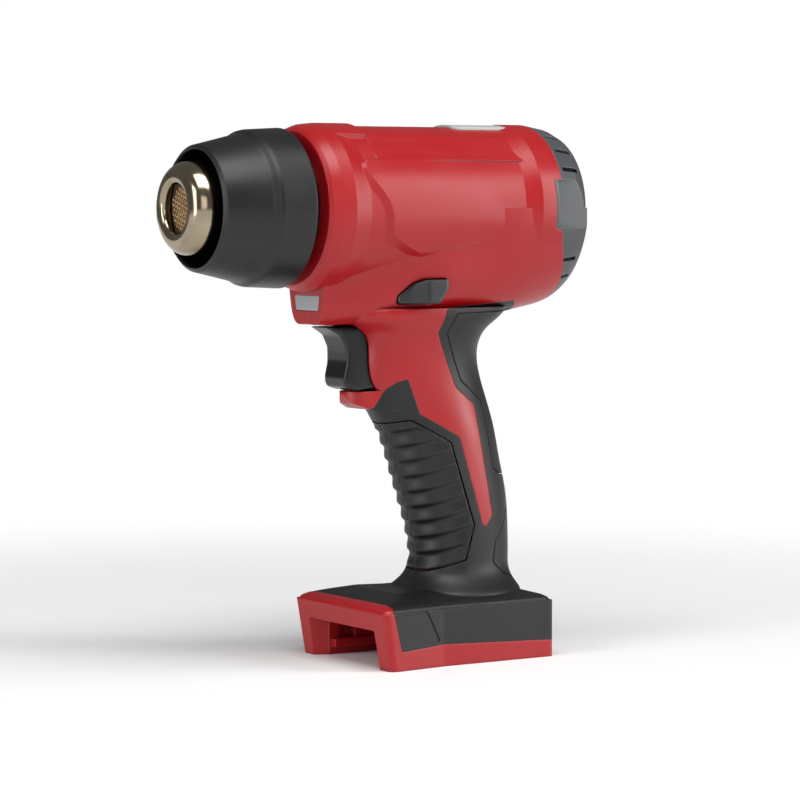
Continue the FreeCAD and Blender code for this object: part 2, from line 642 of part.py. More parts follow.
def nozzle_tube():
    """The stainless tube with its end rolled in to a dome around the mouth."""
    start = TIP - 6.5
    outer = [V(start, 0, NOZZLE_R), V(TIP - 3.2, 0, NOZZLE_R - 0.8), V(TIP - 0.9, 0, NOZZLE_R - 2.7),
             V(TIP, 0, NOZZLE_R - 5.4), V(TIP - 0.5, 0, MOUTH_R + 0.6), V(TIP - 1.6, 0, MOUTH_R)]
    inner = [V(TIP - 2.3, 0, MOUTH_R + 0.5), V(TIP - 1.1, 0, NOZZLE_R - 5.6),
             V(TIP - 1.9, 0, NOZZLE_R - 3.3), V(TIP - 3.7, 0, NOZZLE_R - 1.7),
             V(start, 0, NOZZLE_R - NOZZLE_WALL)]
    lift = V(0, 0, AXIS_HEIGHT)
    outside = Part.BSplineCurve()
    outside.interpolate([p + lift for p in outer])
    inside = Part.BSplineCurve()
    inside.interpolate([p + lift for p in inner])
    back = V(TUBE_REAR, 0, AXIS_HEIGHT)
    flange = V(0, 0, NOZZLE_R + 3.0)
    points = [inner[-1] + lift, back + V(0, 0, NOZZLE_R - NOZZLE_WALL), back + flange,
              back + flange + V(1.2, 0, 0), back + V(1.2, 0, NOZZLE_R), outer[0] + lift]
    edges = [outside.toShape(), Part.makeLine(outer[-1] + lift, inner[0] + lift), inside.toShape()]
    edges += [Part.makeLine(p, q) for p, q in zip(points, points[1:])]
    wire = Part.Wire(Part.sortEdges(edges)[0])
    return Part.Face(wire).revolve(V(0, 0, AXIS_HEIGHT), V(1, 0, 0), 360)


def nozzle_screen():
    """The perforated guard behind the mouth."""
    screen = rod(SCREEN_X, SCREEN_X + 0.8, NOZZLE_R - 2.6)
    for ring, count in ((0, 1), (3.0, 6), (6.0, 12), (9.0, 18)):
        for k in range(count):
            angle = 2 * math.pi * k / count
            hole = Part.makeCylinder(1.05, 3, V(SCREEN_X - 1, ring * math.cos(angle),
                                                AXIS_HEIGHT + ring * math.sin(angle)), V(1, 0, 0))
            screen = screen.cut(hole)
    return screen


def heater_core():
    """Two crossed mica boards that carry the coil."""
    x0, x1 = HOLDER_FRONT + 6, SCREEN_X - 7
    board = box(x0, x1, -12.4, 12.4, AXIS_HEIGHT - 0.5, AXIS_HEIGHT + 0.5)
    other = box(x0, x1, -0.5, 0.5, AXIS_HEIGHT - 12.4, AXIS_HEIGHT + 12.4)
    return board.fuse(other).removeSplitter()


def heater_coil():
    """Turns of resistance wire round the boards, joined by one straight link."""
    x0, x1 = HOLDER_FRONT + 8, SCREEN_X - 9
    radius = 13.2
    turns = 9
    step = (x1 - x0) / (turns - 1)
    coil = Part.makeCylinder(0.4, x1 - x0, V(x0, 0, AXIS_HEIGHT + radius), V(1, 0, 0))
    for k in range(turns):
        coil = coil.fuse(Part.makeTorus(radius, 0.55, V(x0 + k * step, 0, AXIS_HEIGHT), V(1, 0, 0)))
    return coil


def heater_holder():
    """The ring that carries the heater in the barrel."""
    ring = tube(HOLDER_REAR, HOLDER_FRONT, BORE_R - 0.1, NOZZLE_R - 1.6)
    return ring


# ---------------------------------------------------------------- blower

def air_duct():
    """The funnel from the fan to the heater, with two locating flanges."""
    wall = DUCT_WALL
    throat = NOZZLE_R - 0.2
    a, b, c, d = DUCT_REAR, FAN_FRONT + 4, HOLDER_REAR - 6, HOLDER_REAR
    return turned([(a, DUCT_R), (b, DUCT_R), (c, throat), (d, throat), (d, throat + wall),
                   (c, throat + wall), (b, DUCT_R + wall), (a + 2.5, DUCT_R + wall),
                   (a + 2.5, BORE_R - 0.1), (a, BORE_R - 0.1)])


def fan_impeller():
    """The fan: a hub with turned blades, cut to the duct."""
    hub = tube(FAN_REAR, FAN_FRONT, 8.0, SHAFT_R)
    blades = []
    for k in range(FAN_BLADES):
        blade = box(-6.2, 6.2, -0.6, 0.6, 7.0, FAN_R + 3)
        blade.rotate(V(0, 0, 0), V(0, 0, 1), 42)
        blade.rotate(V(0, 0, 0), V(1, 0, 0), 360 * k / FAN_BLADES)
        blade.translate(V((FAN_REAR + FAN_FRONT) / 2, 0, AXIS_HEIGHT))
        blades.append(blade.common(tube(FAN_REAR + 0.4, FAN_FRONT - 0.4, FAN_R, 7.0)))
    return fused([hub] + blades)


def motor_can():
    """The steel can with a nose for the front bush."""
    a, b = MOTOR_REAR, MOTOR_FRONT
    inner = MOTOR_R - MOTOR_WALL
    return turned([(a, MOTOR_R), (a, inner), (b - MOTOR_WALL, inner), (b - MOTOR_WALL, 3.2),
                   (b + 1.5, 3.2), (b + 1.5, 5.0), (b, 5.0), (b, MOTOR_R)])


def motor_magnets():
    """The two curved magnets glued inside the motor's can."""
    inner = MOTOR_R - MOTOR_WALL
    ring = tube(MOTOR_REAR + 7, MOTOR_FRONT - 4, inner, inner - 2.6)
    slot = box(MOTOR_REAR, MOTOR_FRONT, -3.5, 3.5, AXIS_HEIGHT - 20, AXIS_HEIGHT + 20)
    return ring.cut(slot)


def armature():
    """The wound core: five poles."""
    core = tube(MOTOR_REAR + 8, MOTOR_FRONT - 5, MOTOR_R - MOTOR_WALL - 3.0, SHAFT_R)
    for k in range(5):
        slot = box(MOTOR_REAR, MOTOR_FRONT, -0.9, 0.9, 4.2, 20)
        slot.rotate(V(0, 0, 0), V(1, 0, 0), 72 * k)
        slot.translate(V(0, 0, AXIS_HEIGHT))
        core = core.cut(slot)
    return core


def end_bell():
    """The plastic end of the motor with the rear bush and the brush boxes."""
    a = MOTOR_REAR
    disc = tube(a - BELL_LENGTH, a, MOTOR_R - 0.6, 3.2)
    lip = tube(a, a + 1.2, MOTOR_R - MOTOR_WALL - 0.05, MOTOR_R - MOTOR_WALL - 1.6)
    boxes = []
    for side in (-1, 1):
        boxes.append(box(a - 0.5, a + 6, side * 8 - 3.2, side * 8 + 3.2, AXIS_HEIGHT - 2.6,
                         AXIS_HEIGHT + 2.6))
    bell = fused([disc, lip] + boxes)
    return bell.cut(box(a + 0.6, a + 5.4, -20, 20, AXIS_HEIGHT - 1.5, AXIS_HEIGHT + 1.5))


def brushes():
    """The two carbon blocks that press on the commutator."""
    a = MOTOR_REAR
    pair = [box(a + 0.6, a + 5.4, y, y + 5.6, AXIS_HEIGHT - 1.5, AXIS_HEIGHT + 1.5)
            for y in (4.3, -9.9)]
    return Part.makeCompound(pair)


def motor_mount():
    """The spider that holds the motor in the middle of the air stream."""
    x0 = MOTOR_REAR + 8
    x1 = x0 + 6
    outer = tube(x0, x1, BORE_R - 0.1, BORE_R - 1.8)
    inner = tube(x0, x1, MOTOR_R + 1.6, MOTOR_R)
    arms = []
    for k in range(4):
        arm = box(x0, x1, -0.9, 0.9, MOTOR_R + 1.0, BORE_R - 1.0)
        arm.rotate(V(0, 0, 0), V(1, 0, 0), 45 + 90 * k)
        arm.translate(V(0, 0, AXIS_HEIGHT))
        arms.append(arm)
    return fused([outer, inner] + arms)


# ---------------------------------------------------------------- controls

def trigger():
    """The finger piece, rounded where the finger lies, with its guide block behind."""
    face = side_prism(trigger_outline(0), -TRIGGER_HALF, TRIGGER_HALF, 2.0)
    rounding = []
    for z in (handle_height(0.7), UNDERSIDE + 2):
        rounding.append(handle_section(z, 24.0, -26.0, TRIGGER_HALF, 3.2, 0))
    low = loft(rounding)
    shaped = face.common(low)
    return shaped.cut(Part.makeCylinder(2.5, 3.0, V(-2.0, 0, STEM_Z), V(1, 0, 0)))


def trigger_stem():
    """The switch plunger, fixed in the trigger."""
    return Part.makeCylinder(2.5, 21.0, V(-20.0, 0, STEM_Z), V(1, 0, 0))


def switch_body():
    """The switch that the trigger works, standing in the handle."""
    block = box(SWITCH_REAR, SWITCH_FRONT, -8.4, 8.4, SWITCH_LOW, SWITCH_HIGH)
    bore = Part.makeCylinder(2.5 + 0.35, SWITCH_FRONT + 29.0, V(-29.0, 0, STEM_Z), V(1, 0, 0))
    return block.cut(bore)


def trigger_spring():
    """The return spring around the plunger."""
    radius = 4.2
    length = -SWITCH_FRONT - 2.0 - 1.2
    helix = Part.makeHelix(2.1, length, radius)
    section = Part.Wire(Part.makeCircle(0.45, V(radius, 0, 0), V(0, 1, 0)))
    spring = Part.Wire(helix).makePipeShell([section], True, True)
    spring.rotate(V(0, 0, 0), V(0, 1, 0), 90)
    spring.translate(V(SWITCH_FRONT + 0.6, 0, STEM_Z))
    return spring


def lock_button():
    """The sliding lock bar with a wedge-shaped finger pad at each end, pushed to the left."""
    low = AXIS_HEIGHT - LOCK_LOW
    high = AXIS_HEIGHT - LOCK_HIGH
    middle = (low + high) / 2
    reach = 25.4
    bar = box(LOCK_REAR + 6, LOCK_FRONT - 6, -16, 18, middle - 2.6, middle + 1.0)
    side = side_prism(lock_outline(), -40, 40, 0.8)
    pads = []
    for sign, out in ((1, reach), (-1, reach - LOCK_TRAVEL)):
        plan = [(LOCK_FRONT + 1, 15), (LOCK_REAR - 1, 15), (LOCK_REAR - 1, out + 0.8),
                (LOCK_REAR + 9, out + 0.8), (LOCK_FRONT - 4, out - 2.2), (LOCK_FRONT + 1, out - 6.0)]
        wire = rounded_wire([V(x, sign * y, low - 1) for x, y in plan], 0.9)
        pads.append(Part.Face(wire).extrude(V(0, 0, high - low + 2)).common(side))
    return fused([bar] + pads)


# ---------------------------------------------------------------- electrics

def contact_blades():
    """The five blades that the battery's terminals grip."""
    blades = []
    for k in range(5):
        y = (k - 2) * 3.6
        blades.append(box(SLOT_REAR + 18, SLOT_REAR + 30, y - 0.4, y + 0.4, 5.5, 11.5))
    return Part.makeCompound(blades)


def terminal_block():
    """The block that holds the contact blades, with a neck up into the handle."""
    lower = box(SLOT_REAR + 0.5, SLOT_REAR + 18, -11, 11, 4.0, SLOT_HEIGHT)
    upper = box(SLOT_REAR + 4.2, SLOT_REAR + 17.8, -7.8, 7.8, SLOT_HEIGHT, TERMINAL_TOP)
    return lower.fuse(upper).removeSplitter()


BOARD_LOW = handle_height(0.06)
BOARD_HIGH = handle_height(0.47)


def control_board():
    """The circuit board, standing in the handle."""
    outline = [(-32.5, BOARD_LOW), (-50.0, BOARD_LOW), (-46.5, BOARD_HIGH), (-26.0, BOARD_HIGH),
               (-32.5, BOARD_LOW + 18)]
    return side_prism(outline, -4.6, -3.0, 1.0)


def heat_sink():
    """A finned plate on the circuit board."""
    base = box(-44, -30, -3.0, -1.8, BOARD_LOW + 20, BOARD_LOW + 32)
    fins = [box(-44, -30, -1.8, 1.6, z, z + 1.2)
            for z in (BOARD_LOW + 20.5, BOARD_LOW + 24.0, BOARD_LOW + 27.5)]
    return fused([base] + fins)


def capacitor():
    """The round capacitor beside the circuit board."""
    return Part.makeCylinder(3.6, 11.0, V(-44.6, -3.0, BOARD_LOW + 11), V(0, 1, 0))


def led_board():
    """The small board behind the lens."""
    front = BODY_FRONT - 7.5
    return box(front - 5.6, front - 4.2, -6, 6, AXIS_HEIGHT - 38.2, AXIS_HEIGHT - 30.4)


def led_chips():
    """The two lamps on their board."""
    front = BODY_FRONT - 7.5
    return Part.makeCompound([box(front - 4.2, front - 3.2, y - 1.4, y + 1.4, AXIS_HEIGHT - 35.9,
                                  AXIS_HEIGHT - 33.1) for y in (-3.0, 3.0)])


def wire(points, radius):
    """An insulated wire: straight runs joined by arcs that touch them."""
    points = [V(*p) for p in points]
    edges = []
    start = points[0]
    for here, before, after in zip(points[1:], points, points[2:]):
        back = before - here
        ahead = after - here
        turn = back.getAngle(ahead)
        reach = 0.45 * min(back.Length, ahead.Length, 8.0)
        back.normalize()
        ahead.normalize()
        bisector = back + ahead
        bisector.normalize()
        bend = reach * math.tan(turn / 2)
        middle = here + bisector * (bend / math.sin(turn / 2) - bend)
        edges.append(Part.makeLine(start, here + back * reach))
        edges.append(Part.Arc(here + back * reach, middle, here + ahead * reach).toShape())
        start = here + ahead * reach
    edges.append(Part.makeLine(start, points[-1]))
    path = Part.Wire(edges)
    section = Part.Wire(Part.makeCircle(radius, points[0], points[1] - points[0]))
    return path.makePipeShell([section], True, True)


def wire_pairs():
    """Each pair of leads inside the tool."""
    z0 = TERMINAL_TOP
    motor_low = AXIS_HEIGHT - 19.5
    pairs = {"power_leads": [], "switch_leads": [], "heater_leads": [], "motor_leads": []}
    for side in (-1, 1):
        y = 5.0 * side
        x = -38 - 2 * side
        pairs["power_leads"].append(wire([(-38, y, z0), (-38, y, z0 + 6), (x, 2.6 * side + 0.5, z0 + 12),
                                          (x, -1.9, BOARD_LOW + 2.5), (x, -1.9, BOARD_LOW + 7)], 1.0))
        x = -29.0 + 3 * side
        pairs["switch_leads"].append(wire([(x, -1.9, BOARD_HIGH - 5), (x, -1.9, BOARD_HIGH + 4),
                                           (x + 3, 0, SWITCH_LOW - 6), (x + 3, 0, SWITCH_LOW)], 0.9))
        pairs["heater_leads"].append(wire([(-17, y, SWITCH_HIGH), (-17, y, BELLY_FLOOR + 1.9),
                                           (BODY_FRONT - 24, y, BELLY_FLOOR + 1.9),
                                           (BODY_FRONT - 24, y, AXIS_HEIGHT - 22.2),
                                           (HOLDER_REAR, y, AXIS_HEIGHT - 21.0)], 0.9))
        y = 3.0 * side
        pairs["motor_leads"].append(wire([(-29, y, SWITCH_HIGH), (-29, y, BELLY_FLOOR + 5.0),
                                          (-REAR_REACH + 23.3, y, BELLY_FLOOR + 6.2),
                                          (-REAR_REACH + 23.3, y, motor_low),
                                          (-REAR_REACH + 11.0, y, motor_low),
                                          (-REAR_REACH + 11.0, y, AXIS_HEIGHT - 8),
                                          (MOTOR_REAR - BELL_LENGTH, y, AXIS_HEIGHT - 8)], 0.8))
    return pairs


def housing_screws():
    """The screws that join the two halves, all driven from the right."""
    screws = []
    for x, z, head in SCREWS:
        cap = Part.makeCylinder(SCREW_HEAD_R, SCREW_HEAD, V(x, -head, z), V(0, 1, 0))
        drive = Part.makeCylinder(1.1, 1.3, V(x, -head, z), V(0, 1, 0))
        shank = Part.makeCylinder(SCREW_R, head + 8.0 - SCREW_HEAD, V(x, -head + SCREW_HEAD, z), V(0, 1, 0))
        screws.append(cap.cut(drive).fuse(shank).removeSplitter())
    return Part.makeCompound(screws)


# ---------------------------------------------------------------- the whole tool

red, rubber, cap_form, lens = housing_parts()
save_halves("housing", red)
for rubber_name, piece in rubber.items():
    save_halves(rubber_name, piece)
save("led_lens", lens)
save("rear_cap", rear_cap(cap_form))
save("intake_screen", intake_screen())
save("top_badge", badge_solid(0))

save("front_collar", front_collar())
save("nozzle_tube", nozzle_tube())
save("nozzle_screen", nozzle_screen())
save("mica_sleeve", tube(TUBE_REAR, SCREEN_X - 3, SLEEVE_R, SLEEVE_R - 0.6))
save("heater_core", heater_core())
save("heater_coil", heater_coil())
save("heater_holder", heater_holder())

save("air_duct", air_duct())
save("fan_impeller", fan_impeller())
save("motor_can", motor_can())
save("motor_magnets", motor_magnets())
save("armature", armature())
save("commutator", tube(MOTOR_REAR + 0.8, MOTOR_REAR + 6.5, 3.9, SHAFT_R))
save("motor_shaft", rod(MOTOR_REAR - BELL_LENGTH, FAN_FRONT, SHAFT_R))
bush_bore = SHAFT_R + BUSH_CLEAR
save("front_bush", tube(MOTOR_FRONT - MOTOR_WALL - 1, MOTOR_FRONT + 1.5, 3.2, bush_bore))
save("rear_bush", tube(MOTOR_REAR - BELL_LENGTH, MOTOR_REAR, 3.2, bush_bore))
save("end_bell", end_bell())
save("brushes", brushes())
save("motor_mount", motor_mount())

save("trigger", trigger())
save("trigger_stem", trigger_stem())
save("switch_body", switch_body())
save("trigger_spring", trigger_spring())
save("lock_button", lock_button())

save("terminal_block", terminal_block())
save("contact_blades", contact_blades())
save("control_board", control_board())
save("heat_sink", heat_sink())
save("capacitor", capacitor())
save("led_board", led_board())
save("led_chips", led_chips())
for pair_name, pair in wire_pairs().items():
    save(pair_name, Part.makeCompound(pair))
save("housing_screws", housing_screws())
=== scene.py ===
# %% [markdown]
# A cordless heat gun, finished from its engineering model.
# The exact solids come in as a fixed frame, so every size and place is already right. What is added
# here is what a solid modeller leaves out: ribs pressed into rubber, a wire guard, rounded finger
# pieces, and a surface on each piece that says what it is made of.

# %% Load the frame, with a helper for a part's box
import bpy
import bmesh
import math
from mathutils import Vector, Matrix


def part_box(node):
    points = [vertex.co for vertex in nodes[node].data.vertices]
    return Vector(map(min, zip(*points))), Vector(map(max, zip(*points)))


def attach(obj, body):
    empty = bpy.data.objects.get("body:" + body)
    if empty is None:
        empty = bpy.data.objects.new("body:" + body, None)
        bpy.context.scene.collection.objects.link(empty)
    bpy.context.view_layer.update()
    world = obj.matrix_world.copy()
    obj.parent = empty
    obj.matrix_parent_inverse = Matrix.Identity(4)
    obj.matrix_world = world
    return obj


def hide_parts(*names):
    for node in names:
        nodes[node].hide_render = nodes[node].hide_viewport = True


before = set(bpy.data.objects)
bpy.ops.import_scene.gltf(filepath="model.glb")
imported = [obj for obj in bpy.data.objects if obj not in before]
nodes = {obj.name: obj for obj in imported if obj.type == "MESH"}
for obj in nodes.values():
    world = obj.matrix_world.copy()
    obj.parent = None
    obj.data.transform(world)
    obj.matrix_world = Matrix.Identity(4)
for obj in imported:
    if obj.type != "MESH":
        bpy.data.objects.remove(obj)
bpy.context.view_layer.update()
MM = 0.001

# %% [markdown]
# The camera stands off the tool's front left corner, a little above the nozzle's height and far away,
# as a product photographer's does. A long lens keeps the foot and the barrel the same scale.

# %% Camera
AIM = Vector((-0.0151, 0, 0.0970))
AZIMUTH, ELEVATION, DISTANCE = math.radians(147.25), math.radians(3.70), 1.198
toward = Vector((math.sin(AZIMUTH) * math.cos(ELEVATION), -math.cos(AZIMUTH) * math.cos(ELEVATION),
                 math.sin(ELEVATION)))
lens = bpy.data.cameras.new("camera")
lens.lens, lens.sensor_width = 144, 36
camera = bpy.data.objects.new("camera", lens)
bpy.context.scene.collection.objects.link(camera)
camera.location = AIM + DISTANCE * toward
camera.rotation_euler = (-toward).to_track_quat("-Z", "Y").to_euler()
bpy.context.scene.camera = camera
print("camera at", [round(v, 3) for v in camera.location])

# %% [markdown]
# Colours are written as the sRGB values a paint chart gives, but shaders add light, so they need
# linear numbers. One function turns the first into the second. Another adds a shader node, sets it up
# and wires it in one go, which keeps each material readable as a short list of what it is made of.

# %% Colour and node helpers
def linear(colour):
    """An sRGB hex colour as the linear numbers a shader adds up."""
    parts = [int(colour[k:k + 2], 16) / 255 for k in (1, 3, 5)]
    return [p / 12.92 if p <= 0.04045 else ((p + 0.055) / 1.055) ** 2.4 for p in parts] + [1.0]


def add(tree, kind, inputs=(), **settings):
    """Adds a shader node with its settings, its values and its links."""
    node = tree.nodes.new("ShaderNode" + kind)
    for name, value in settings.items():
        setattr(node, name, value)
    for name, value in dict(inputs).items():
        if isinstance(value, bpy.types.NodeSocket):
            tree.links.new(value, node.inputs[name])
        else:
            node.inputs[name].default_value = value
    return node


def blank(name):
    """An empty material with its output node."""
    material = bpy.data.materials.new(name)
    material.use_nodes = True
    tree = material.node_tree
    tree.nodes.clear()
    return material, tree, add(tree, "OutputMaterial")


# %% [markdown]
# Most of the tool is moulded plastic or rubber. A steel mould is spark-eroded, which leaves a fine
# orange-peel grain of a few tenths of a millimetre, and the surface is never quite even: gloss and
# colour drift over a few centimetres where the plastic cooled. Corners are rounded by about half a
# millimetre, so they catch a thin line of light, and hands polish them a little paler. Shade is
# painted into narrow grooves: an occlusion node over two millimetres darkens the colour there.

# %% Moulded plastic and rubber
def moulded(name, colour, worn, roughness, grain, depth, corner, patch=22, coat=0.0):
    """Moulded material. Grain, depth, corner radius and patch size are in millimetres."""
    material, tree, output = blank(name)
    place = add(tree, "TexCoord").outputs["Object"]
    geometry = add(tree, "NewGeometry")
    rounded = add(tree, "Bevel", {"Radius": corner * MM}, samples=6)
    drift = add(tree, "TexNoise", {"Vector": place, "Scale": 1000 / patch, "Detail": 3.0})
    peel = add(tree, "TexNoise", {"Vector": place, "Scale": 1000 / grain, "Detail": 2.0})
    scuff = add(tree, "TexNoise", {"Vector": place, "Scale": 1000 / 3.0, "Detail": 6.0,
                                   "Roughness": 0.7})
    edge = add(tree, "VectorMath", {0: rounded.outputs["Normal"], 1: geometry.outputs["Normal"]},
               operation="DOT_PRODUCT")
    turned = add(tree, "MapRange", {"Value": edge.outputs["Value"], "From Min": 0.995, "From Max": 0.90,
                                    "To Min": 0.0, "To Max": 0.8})
    rubbed = add(tree, "Math", {0: turned.outputs["Result"], 1: scuff.outputs["Fac"]},
                 operation="MULTIPLY")
    # Painted shade: occlusion within two millimetres darkens the colour in grooves, creases and between
    # parts.
    nook = add(tree, "AmbientOcclusion", {"Distance": 2.0 * MM}, samples=6)
    painted_groove_shade = add(tree, "MapRange", {"Value": nook.outputs["AO"], "From Min": 0.25, "From Max": 0.70,
                                  "To Min": 0.10, "To Max": 1.0})
    darker = [c * 0.90 for c in linear(colour)[:3]] + [1.0]
    ground = add(tree, "Mix", {"Factor": drift.outputs["Fac"], 6: darker, 7: linear(colour)},
                 data_type="RGBA")
    shade = add(tree, "Mix", {"Factor": rubbed.outputs["Value"], 6: ground.outputs[2], 7: linear(worn)},
                data_type="RGBA")
    groove_shaded_colour = add(tree, "Mix", {"Factor": 1.0, 6: shade.outputs[2], 7: painted_groove_shade.outputs["Result"]},
                  data_type="RGBA", blend_type="MULTIPLY")
    gloss = add(tree, "MapRange", {"Value": drift.outputs["Fac"], "From Min": 0.3, "From Max": 0.7,
                                   "To Min": roughness - 0.05, "To Max": roughness + 0.05})
    relief = add(tree, "Bump", {"Height": peel.outputs["Fac"], "Distance": depth * MM,
                                "Strength": 1.0, "Normal": rounded.outputs["Normal"]})
    surface = add(tree, "BsdfPrincipled", {"Base Color": groove_shaded_colour.outputs[2], "Roughness": gloss.outputs[0],
                                           "Normal": relief.outputs["Normal"], "IOR": 1.5,
                                           "Coat Weight": coat, "Coat Roughness": 0.12})
    tree.links.new(surface.outputs["BSDF"], output.inputs["Surface"])
    return material


# Glass-filled nylon, spark-eroded: a deep red with a satin, slightly cloudy gloss.
red_nylon = moulded("satin_red_nylon", "#A30A12", "#C93A40", 0.36, 0.5, 0.012, 0.7)
# Overmoulded thermoplastic rubber: near black, soft broad highlights, a finer grain.
black_rubber = moulded("overmoulded_rubber", "#0D0D0E", "#2E2E2F", 0.46, 0.35, 0.014, 0.5)
# Heat-resistant PPS of the guard: black, drier than the rubber.
guard_plastic = moulded("heat_guard_plastic", "#0B0A0A", "#3A3939", 0.40, 0.45, 0.014, 0.8)
# Graphite nylon of the rear cap.
graphite_nylon = moulded("graphite_nylon", "#47494C", "#7C7E80", 0.36, 0.5, 0.012, 0.6)
# Finger pieces: smooth acetal that fingers keep polished.
finger_plastic = moulded("finger_piece_acetal", "#09090A", "#2A2A2C", 0.27, 0.4, 0.006, 0.7)
lock_plastic = moulded("lock_button_nylon", "#242527", "#545557", 0.30, 0.4, 0.008, 0.6)
badge_plastic = moulded("pale_inlay", "#B9C1BC", "#D6DAD7", 0.30, 0.6, 0.004, 0.4)
lens_plastic = moulded("frosted_polycarbonate", "#9DA1A3", "#C4C7C8", 0.22, 0.8, 0.006, 0.4, coat=0.5)
inner_black = moulded("inner_black_nylon", "#262728", "#3A3B3C", 0.50, 0.5, 0.010, 0.3)
pale_nylon = moulded("natural_nylon", "#C9C6BA", "#DAD8CF", 0.45, 0.5, 0.008, 0.3)
mica_board = moulded("pressed_mica", "#B8A27A", "#CBB994", 0.55, 1.5, 0.020, 0.1, patch=6)
ferrite = moulded("sintered_ferrite", "#2F2E2E", "#4A4948", 0.65, 0.3, 0.020, 0.3)
carbon = moulded("brush_carbon", "#202022", "#3A3A3C", 0.60, 0.3, 0.015, 0.2)
lead_sleeve = moulded("silicone_lead", "#8E1717", "#A33A3A", 0.42, 0.5, 0.006, 0.2)
board_mask = moulded("solder_mask", "#0F5A35", "#2C7A52", 0.30, 0.9, 0.010, 0.1, coat=0.3)
print("moulded materials", len(bpy.data.materials))

# %% [markdown]
# Metal has no colour of its own under a gloss: the reflection is the colour. What tells one metal from
# another is the tint of that reflection and the direction of the fine scratches. The nozzle is
# polished stainless steel, spun on a lathe, so its scratches run round the barrel's axis, and heat
# has left a cloudy straw tint on it.

# %% Metals
def metal(name, colour, second, roughness, streak, depth):
    """Bare metal. Streaks run round the X axis, streak millimetres apart."""
    material, tree, output = blank(name)
    place = add(tree, "TexCoord").outputs["Object"]
    stretched = add(tree, "Mapping", {"Vector": place, "Scale": (1000 / streak, 25, 25)})
    lines = add(tree, "TexNoise", {"Vector": stretched.outputs["Vector"], "Scale": 1.0, "Detail": 4.0})
    cloud = add(tree, "TexNoise", {"Vector": place, "Scale": 1000 / 9, "Detail": 3.0})
    tint = add(tree, "Mix", {"Factor": cloud.outputs["Fac"], 6: linear(colour), 7: linear(second)},
               data_type="RGBA")
    gloss = add(tree, "MapRange", {"Value": lines.outputs["Fac"], "From Min": 0.3, "From Max": 0.7,
                                   "To Min": roughness * 0.7, "To Max": roughness * 1.3})
    rounded = add(tree, "Bevel", {"Radius": 0.25 * MM}, samples=4)
    relief = add(tree, "Bump", {"Height": lines.outputs["Fac"], "Distance": depth * MM,
                                "Normal": rounded.outputs["Normal"]})
    surface = add(tree, "BsdfPrincipled", {"Base Color": tint.outputs[2], "Metallic": 1.0,
                                           "Roughness": gloss.outputs[0],
                                           "Normal": relief.outputs["Normal"]})
    tree.links.new(surface.outputs["BSDF"], output.inputs["Surface"])
    return material


spun_stainless = metal("spun_stainless", "#B3A998", "#8E7C60", 0.16, 0.35, 0.0015)
screen_wire = metal("oxidised_screen_wire", "#D9A86C", "#C9B08E", 0.28, 0.3, 0.002)
zinc_steel = metal("zinc_plated_steel", "#B9BCC0", "#A4A6A8", 0.30, 0.4, 0.002)
copper = metal("copper", "#C9794E", "#B56A44", 0.30, 0.3, 0.002)
bronze = metal("sintered_bronze", "#A98A55", "#8F7245", 0.40, 0.3, 0.004)
bright_aluminium = metal("extruded_aluminium", "#D4D5D7", "#C2C4C6", 0.28, 0.3, 0.002)
print("materials", len(bpy.data.materials))

# %% [markdown]
# Each solid that keeps its own shape gets its material by name, in groups that are made of one stuff.

# %% Finish on the solids
finishes = {
    red_nylon: ("housing_left", "housing_right"),
    black_rubber: ("overmould_left", "overmould_right", "rear_pad_left", "rear_pad_right",
                   "heel_pad_left", "heel_pad_right", "ribbed_grip_left", "ribbed_grip_right"),
    guard_plastic: ("front_collar",),
    graphite_nylon: ("rear_cap",),
    finger_plastic: ("trigger",),
    lock_plastic: ("lock_button",),
    badge_plastic: ("top_badge",),
    lens_plastic: ("led_lens", "led_chips"),
    inner_black: ("fan_impeller", "end_bell", "switch_body", "terminal_block"),
    pale_nylon: ("air_duct", "motor_mount", "trigger_stem", "heater_holder"),
    mica_board: ("mica_sleeve", "heater_core"),
    ferrite: ("motor_magnets",),
    carbon: ("brushes",),
    lead_sleeve: ("power_leads", "switch_leads", "heater_leads", "motor_leads"),
    board_mask: ("control_board", "led_board"),
    spun_stainless: ("nozzle_tube",),
    screen_wire: ("nozzle_screen", "heater_coil"),
    zinc_steel: ("intake_screen", "motor_can", "motor_shaft", "trigger_spring", "housing_screws"),
    copper: ("armature", "commutator", "contact_blades"),
    bronze: ("front_bush", "rear_bush"),
    bright_aluminium: ("heat_sink", "capacitor"),
}
for material, names in finishes.items():
    for name in names:
        for place in nodes[name].material_slots:
            place.material = material
print("finished", sum(len(names) for names in finishes.values()), "of", len(nodes), "nodes")

# %% [markdown]
# Some pieces need a new mesh. It starts as a copy of the solid's own triangles, merged so that they
# share corners, and laid over with an even grid by a voxel remesh. An even grid can then be smoothed
# or pressed like clay, while the piece keeps its exact place and outline.

# %% Even mesh from a solid
def even_copy(name, node, voxel, material, body):
    """A piece with the node's shape on an even grid of the given size in millimetres."""
    shape = bmesh.new()
    shape.from_mesh(nodes[node].data)
    bmesh.ops.remove_doubles(shape, verts=shape.verts, dist=0.01 * MM)
    mesh = bpy.data.meshes.new(name)
    shape.to_mesh(mesh)
    shape.free()
    piece = bpy.data.objects.new(name, mesh)
    bpy.context.scene.collection.objects.link(piece)
    grid = piece.modifiers.new("grid", "REMESH")
    grid.mode, grid.voxel_size = "VOXEL", voxel * MM
    graph = bpy.context.evaluated_depsgraph_get()
    piece.data = bpy.data.meshes.new_from_object(piece.evaluated_get(graph))
    piece.modifiers.clear()
    piece.data.materials.clear()
    piece.data.materials.append(material)
    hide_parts(node)
    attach(piece, body)
    return piece


